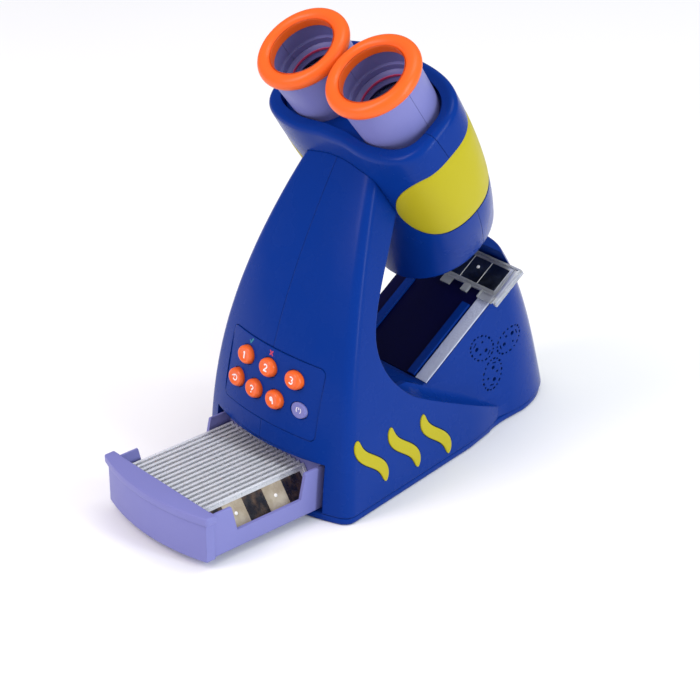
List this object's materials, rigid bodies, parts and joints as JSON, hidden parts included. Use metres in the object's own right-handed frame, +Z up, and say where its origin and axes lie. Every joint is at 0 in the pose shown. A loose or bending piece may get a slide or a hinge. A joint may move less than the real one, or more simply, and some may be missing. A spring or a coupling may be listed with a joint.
{
  "type": "kids microscope",
  "caption": "Children's slide microscope: leaning arm, tilted twin-eyepiece head, stage with a picture slide that travels sideways, sprung buttons and a slide tray in the base",
  "frame": {"origin": "middle of the base's underside, the face it stands on", "axes": "+X to the user's right, +Y from the user toward the back of the base, +Z up"},
  "size_m": [0.1364, 0.3202, 0.2794],
  "materials": {
    "blue_plastic": "satin moulded",
    "blue_gloss": "gloss moulded",
    "purple_plastic": "satin moulded",
    "lavender_plastic": "satin moulded",
    "orange_plastic": "satin moulded",
    "orange_gloss": "gloss moulded",
    "yellow_plastic": "soft satin moulded",
    "frosted_plastic": "frosted, finely grained",
    "slide_clear": "translucent, frosted",
    "rose_plastic": "plain moulded",
    "dark_plastic": "plain moulded",
    "membrane_rubber": "matt",
    "feet_rubber": "matt",
    "screw_steel": "zinc plated",
    "contact_steel": "nickel plated",
    "cell_wrap": "printed wrap, plain",
    "board": "solder mask",
    "chip_black": "moulded epoxy",
    "speaker_black": "pressed frame",
    "lamp_clear": "clear",
    "lens_clear": "polished",
    "film": "transparent film, dark"
  },
  "bodies": {
    "housing": {"base_plate": "blue_plastic", "rubber_feet": "feet_rubber", "housing_screws": "screw_steel", "left_housing": "blue_plastic", "right_housing": "blue_plastic", "tray_garage": "dark_plastic", "battery_box": "dark_plastic", "battery_cells": "cell_wrap", "battery_contacts": "contact_steel", "battery_door": "blue_plastic", "battery_door_screw": "screw_steel", "control_panel": "blue_plastic", "keypad_membrane": "membrane_rubber", "circuit_board": "board", "sound_chip": "chip_black", "speaker": "speaker_black", "left_inlays": "yellow_plastic", "right_inlays": "yellow_plastic", "stage_plate": "purple_plastic", "stage_rails": "blue_plastic", "light_strip": "frosted_plastic", "led_lamp": "lamp_clear", "head_front_shell": "blue_gloss", "head_rear_shell": "blue_gloss", "head_grip": "yellow_plastic", "eyepiece_deck": "blue_gloss", "left_tube_front": "lavender_plastic", "left_tube_rear": "lavender_plastic", "right_tube_front": "lavender_plastic", "right_tube_rear": "lavender_plastic", "left_eyecup": "orange_plastic", "right_eyecup": "orange_plastic", "left_lens_retainer": "rose_plastic", "right_lens_retainer": "rose_plastic", "left_eyepiece_lens": "lens_clear", "right_eyepiece_lens": "lens_clear", "objective_lens": "lens_clear", "objective_cell": "dark_plastic"},
    "slide": {"slide_frame": "slide_clear", "slide_film": "film"},
    "tray": {"tray": "lavender_plastic", "stored_slides": "slide_clear", "stored_films": "film"},
    "button_1": {"button_1": "orange_gloss"},
    "button_2": {"button_2": "orange_gloss"},
    "button_3": {"button_3": "orange_gloss"},
    "button_repeat": {"button_repeat": "orange_gloss"},
    "button_hint": {"button_hint": "orange_gloss"},
    "button_quiz": {"button_quiz": "orange_gloss"},
    "button_power": {"button_power": "lavender_plastic"}
  },
  "joints": [
    {"name": "slide_travel", "type": "slide", "parent": "housing", "child": "slide", "axis": [1, 0, 0], "range_m": [-0.03, 0.095]},
    {"name": "tray_slide", "type": "slide", "parent": "housing", "child": "tray", "axis": [0, -1, 0], "range_m": [-0.088, 0]},
    {"name": "button_1_press", "type": "slide", "parent": "housing", "child": "button_1", "axis": [0, 0.9763, -0.2164], "range_m": [0, 0.0012], "stiffness_N_per_m": 300, "springref_m": -0.0006},
    {"name": "button_2_press", "type": "slide", "parent": "housing", "child": "button_2", "axis": [0, 0.9763, -0.2164], "range_m": [0, 0.0012], "stiffness_N_per_m": 300, "springref_m": -0.0006},
    {"name": "button_3_press", "type": "slide", "parent": "housing", "child": "button_3", "axis": [0, 0.9763, -0.2164], "range_m": [0, 0.0012], "stiffness_N_per_m": 300, "springref_m": -0.0006},
    {"name": "button_repeat_press", "type": "slide", "parent": "housing", "child": "button_repeat", "axis": [0, 0.9763, -0.2164], "range_m": [0, 0.0012], "stiffness_N_per_m": 300, "springref_m": -0.0006},
    {"name": "button_hint_press", "type": "slide", "parent": "housing", "child": "button_hint", "axis": [0, 0.9763, -0.2164], "range_m": [0, 0.0012], "stiffness_N_per_m": 300, "springref_m": -0.0006},
    {"name": "button_quiz_press", "type": "slide", "parent": "housing", "child": "button_quiz", "axis": [0, 0.9763, -0.2164], "range_m": [0, 0.0012], "stiffness_N_per_m": 300, "springref_m": -0.0006},
    {"name": "button_power_press", "type": "slide", "parent": "housing", "child": "button_power", "axis": [0, 0.9763, -0.2164], "range_m": [0, 0.0012], "stiffness_N_per_m": 300, "springref_m": -0.0006}
  ]
}
